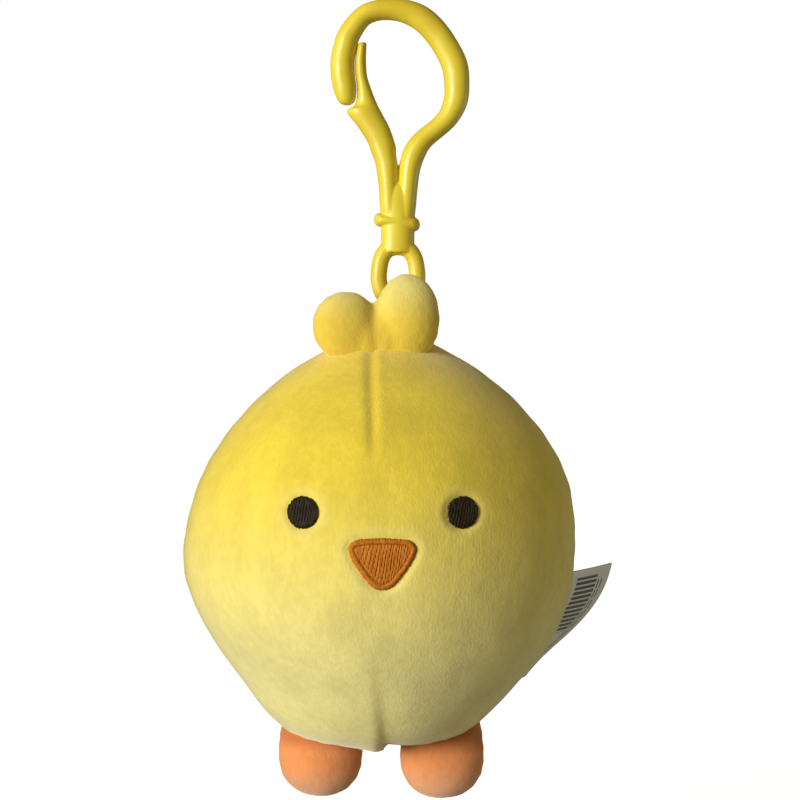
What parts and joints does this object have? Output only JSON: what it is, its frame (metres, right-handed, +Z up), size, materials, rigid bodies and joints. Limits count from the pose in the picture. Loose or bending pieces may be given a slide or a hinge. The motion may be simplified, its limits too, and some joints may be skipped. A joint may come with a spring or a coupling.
{
  "type": "plush keychain",
  "caption": "Round stuffed chick with a lobed tuft, embroidered eyes and beak and stuffed feet, hanging by a ribbon loop from a moulded plastic snap hook.",
  "frame": {"origin": "top inside of the snap hook's bow, where a ring or strap bears on it", "axes": "+Z up along the hanging object, -Y towards the chick's face, +X to the right as seen from the front; the clip lies in the XZ plane"},
  "size_m": [0.0828, 0.068, 0.1518],
  "materials": {
    "yellow_plastic": "gloss",
    "yellow_plush": "matte",
    "orange_plush": "matte",
    "stuffing": "matte",
    "loop_ribbon": "satin",
    "black_thread": "satin",
    "orange_thread": "satin",
    "label_satin": "satin",
    "yellow_thread": "satin"
  },
  "bodies": {
    "clip": {"clip_hook": "yellow_plastic"},
    "gate": {"clip_gate": "yellow_plastic"},
    "hanging_loop": {"hanging_loop": "loop_ribbon"},
    "plush": {"hanging_loop_tail": "loop_ribbon", "body_front_panel": "yellow_plush", "body_back_right_panel": "yellow_plush", "body_back_left_panel": "yellow_plush", "body_stuffing": "stuffing", "tuft_front_panel": "yellow_plush", "tuft_back_panel": "yellow_plush", "tuft_stuffing": "stuffing", "left_foot_front_panel": "orange_plush", "left_foot_back_panel": "orange_plush", "left_foot_stuffing": "stuffing", "right_foot_front_panel": "orange_plush", "right_foot_back_panel": "orange_plush", "right_foot_stuffing": "stuffing", "left_eye_embroidery": "black_thread", "right_eye_embroidery": "black_thread", "beak_border": "orange_thread", "beak_fill": "orange_thread", "care_label": "label_satin", "closing_stitches": "yellow_thread"}
  },
  "joints": [
    {"name": "gate_flex", "type": "hinge", "parent": "clip", "child": "gate", "pos_m": [0.0005, 0, -0.02755], "axis": [0, 1, 0], "range_deg": [0, 20], "stiffness_Nm_per_rad": 0.3},
    {"name": "loop_swing", "type": "hinge", "parent": "clip", "child": "hanging_loop", "pos_m": [0.00266, 0, -0.05345], "axis": [1, 0, 0], "range_deg": [-8, 90]},
    {"name": "plush_sway", "type": "hinge", "parent": "hanging_loop", "child": "plush", "pos_m": [0.0008, 0, -0.0586], "axis": [0, 1, 0], "range_deg": [-30, 30]}
  ]
}
